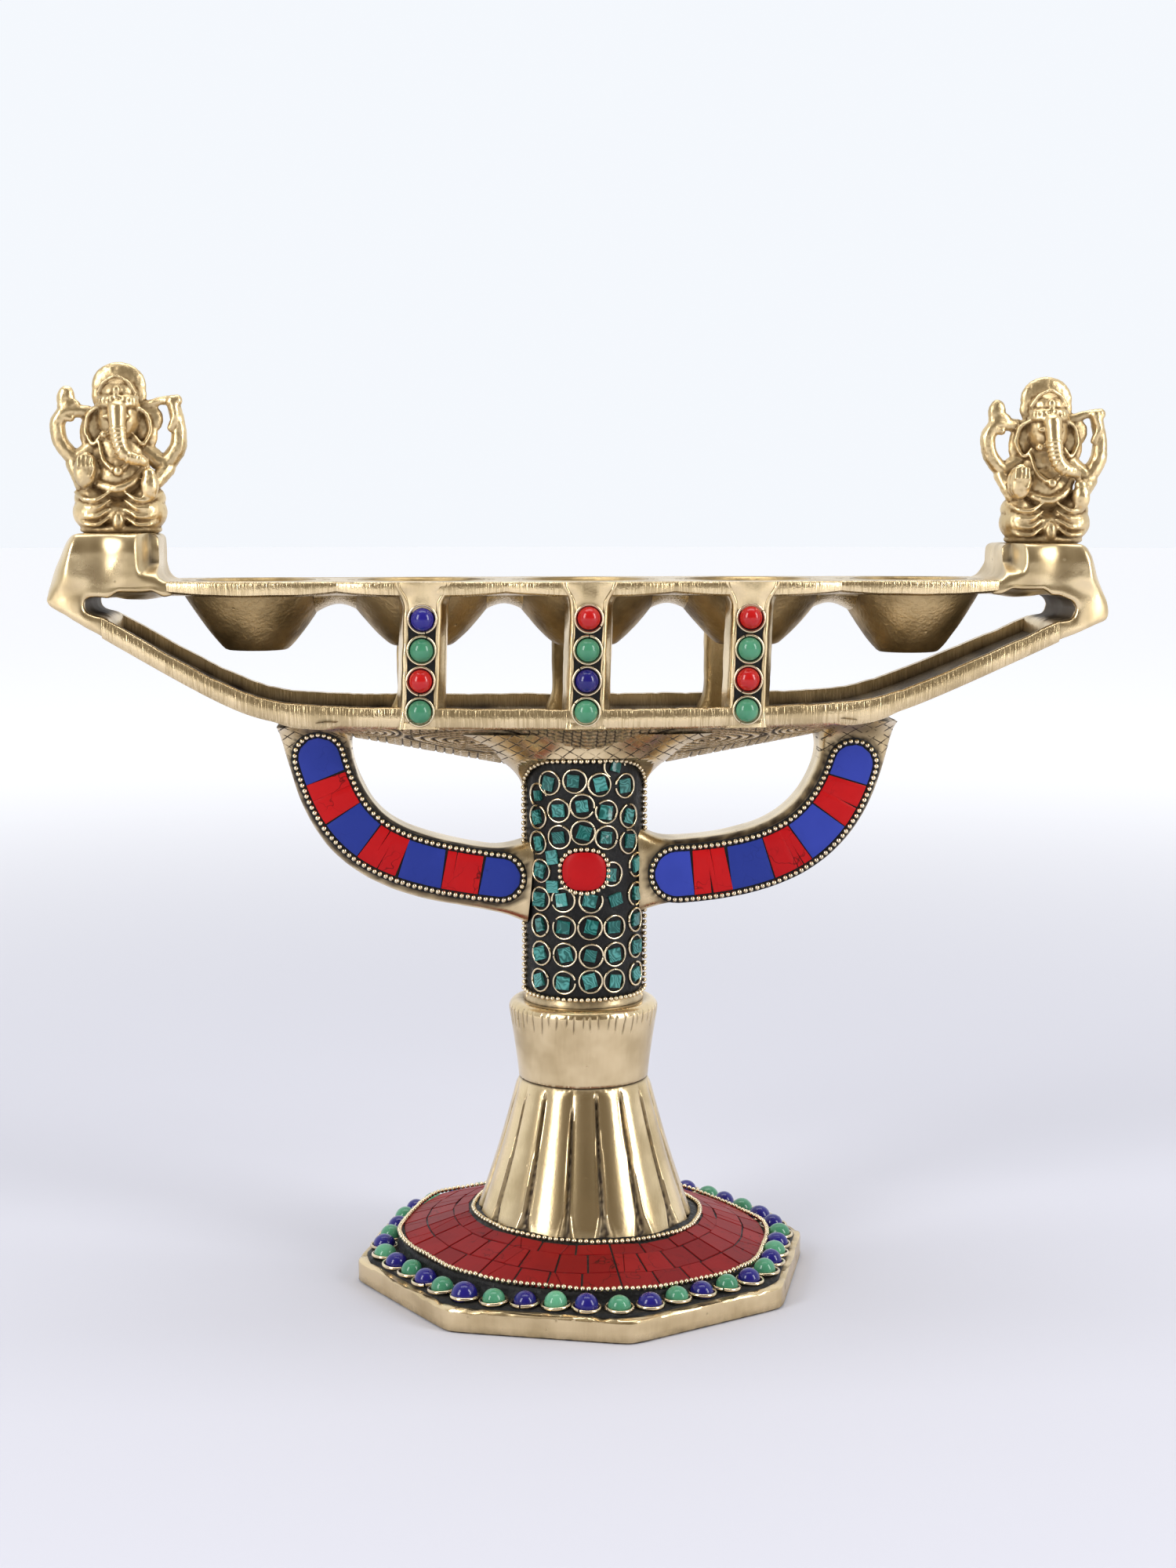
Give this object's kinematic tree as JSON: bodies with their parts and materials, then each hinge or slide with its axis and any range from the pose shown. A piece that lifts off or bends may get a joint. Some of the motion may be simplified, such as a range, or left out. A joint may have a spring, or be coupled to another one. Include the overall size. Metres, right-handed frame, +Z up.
{
  "type": "standing oil lamp",
  "caption": "Standing brass oil lamp: octagonal inlaid foot, fluted cone, mosaic column with curved arms, boat-shaped drip tray, deck of oil cups and a seated figure at each end.",
  "frame": {"origin": "centre of the foot's underside, on the column's axis and on the surface the lamp stands on", "axes": "+Z up, +X to the viewer's right along the tray's length, -Y towards the viewer, who faces the inlaid side"},
  "size_m": [0.2954, 0.1296, 0.2572],
  "materials": {
    "brass_cast": "aged satin",
    "brass_figure": "antique with dark recesses",
    "brass_wire": "bright",
    "steel": "plain",
    "lac_resin": "dull gloss",
    "coral_red": "polished",
    "cobalt_blue": "honed",
    "lapis_blue": "polished",
    "jade_green": "polished",
    "malachite": "split face"
  },
  "bodies": {
    "root": {"foot_plate": "brass_cast", "fluted_foot": "brass_cast", "stem_stud": "steel", "stem_nut": "steel", "stem_washer": "steel", "stem_column": "brass_cast", "arm_left": "brass_cast", "arm_right": "brass_cast", "drip_tray": "brass_cast", "strut_front_left": "brass_cast", "strut_front_centre": "brass_cast", "strut_front_right": "brass_cast", "strut_back_left": "brass_cast", "strut_back_centre": "brass_cast", "strut_back_right": "brass_cast", "deck_plate": "brass_cast", "oil_cup_1": "brass_cast", "oil_cup_2": "brass_cast", "oil_cup_3": "brass_cast", "oil_cup_4": "brass_cast", "oil_cup_5": "brass_cast", "end_block_left": "brass_cast", "end_block_right": "brass_cast", "figure_left": "brass_figure", "figure_right": "brass_figure", "foot_resin": "lac_resin", "foot_tiles": "coral_red", "foot_rings": "brass_wire", "foot_stones_blue": "lapis_blue", "foot_stones_green": "jade_green", "foot_chain_inner": "brass_wire", "foot_chain_outer": "brass_wire", "column_resin": "lac_resin", "column_rings": "brass_wire", "column_chips": "malachite", "column_medallion": "coral_red", "column_chain": "brass_wire", "medallion_chain": "brass_wire", "arm_resin_left": "lac_resin", "arm_tiles_blue_left": "cobalt_blue", "arm_tiles_red_left": "coral_red", "arm_chain_left": "brass_wire", "arm_resin_right": "lac_resin", "arm_tiles_blue_right": "cobalt_blue", "arm_tiles_red_right": "coral_red", "arm_chain_right": "brass_wire", "strut_resin_left": "lac_resin", "strut_resin_centre": "lac_resin", "strut_resin_right": "lac_resin", "strut_rings": "brass_wire", "strut_stones_red": "coral_red", "strut_stones_green": "jade_green", "strut_stones_blue": "lapis_blue"}
  },
  "joints": []
}
